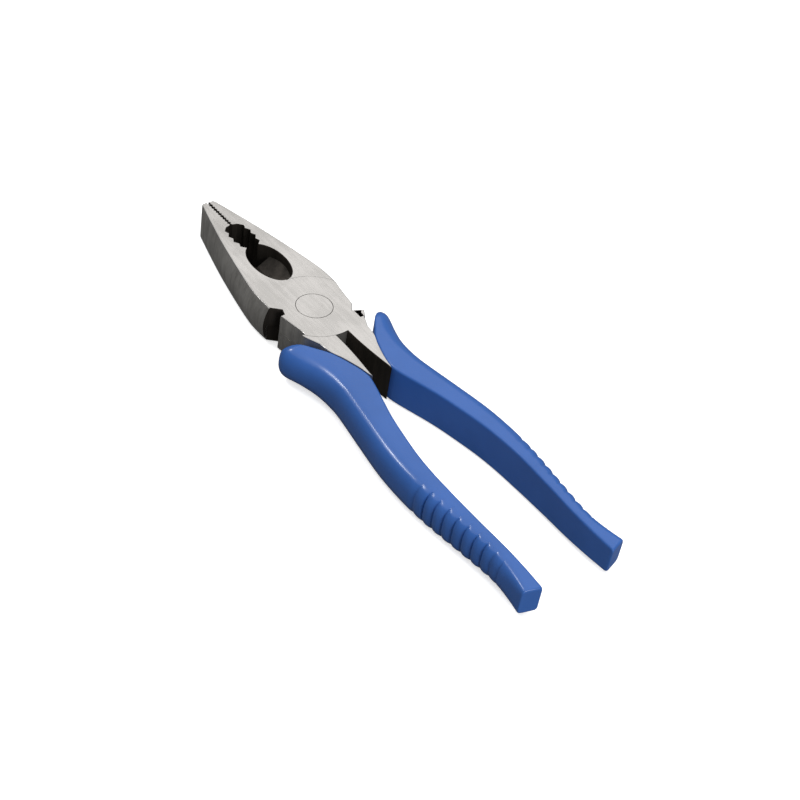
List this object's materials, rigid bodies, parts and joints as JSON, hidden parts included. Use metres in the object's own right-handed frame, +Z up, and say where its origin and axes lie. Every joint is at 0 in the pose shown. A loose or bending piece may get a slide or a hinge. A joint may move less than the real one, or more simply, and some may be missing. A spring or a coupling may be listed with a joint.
{
  "type": "lineman pliers",
  "caption": "Lineman pliers with a serrated nose, toothed pipe grip, side cutter, flush-riveted lap joint and blue moulded grips with finger grooves.",
  "frame": {"origin": "on the joint pivot's axis, at the flat face that the tool rests on", "axes": "+Y runs to the jaw tips along the closed seam, +Z is up along the pivot axis, +X is to the right"},
  "size_m": [0.0458, 0.2, 0.014],
  "materials": {
    "forged_steel": "ground faces over dark forged sides",
    "rivet_steel": "ground flush",
    "grip_plastic": "glossy moulded vinyl"
  },
  "bodies": {
    "left_lever": {"left_half": "forged_steel", "rivet": "rivet_steel", "left_grip": "grip_plastic"},
    "right_lever": {"right_half": "forged_steel", "right_grip": "grip_plastic"}
  },
  "joints": [
    {"name": "jaw_pivot", "type": "hinge", "parent": "left_lever", "child": "right_lever", "pos_m": [0, 0, 0], "axis": [0, 0, 1], "range_deg": [0, 45]}
  ]
}
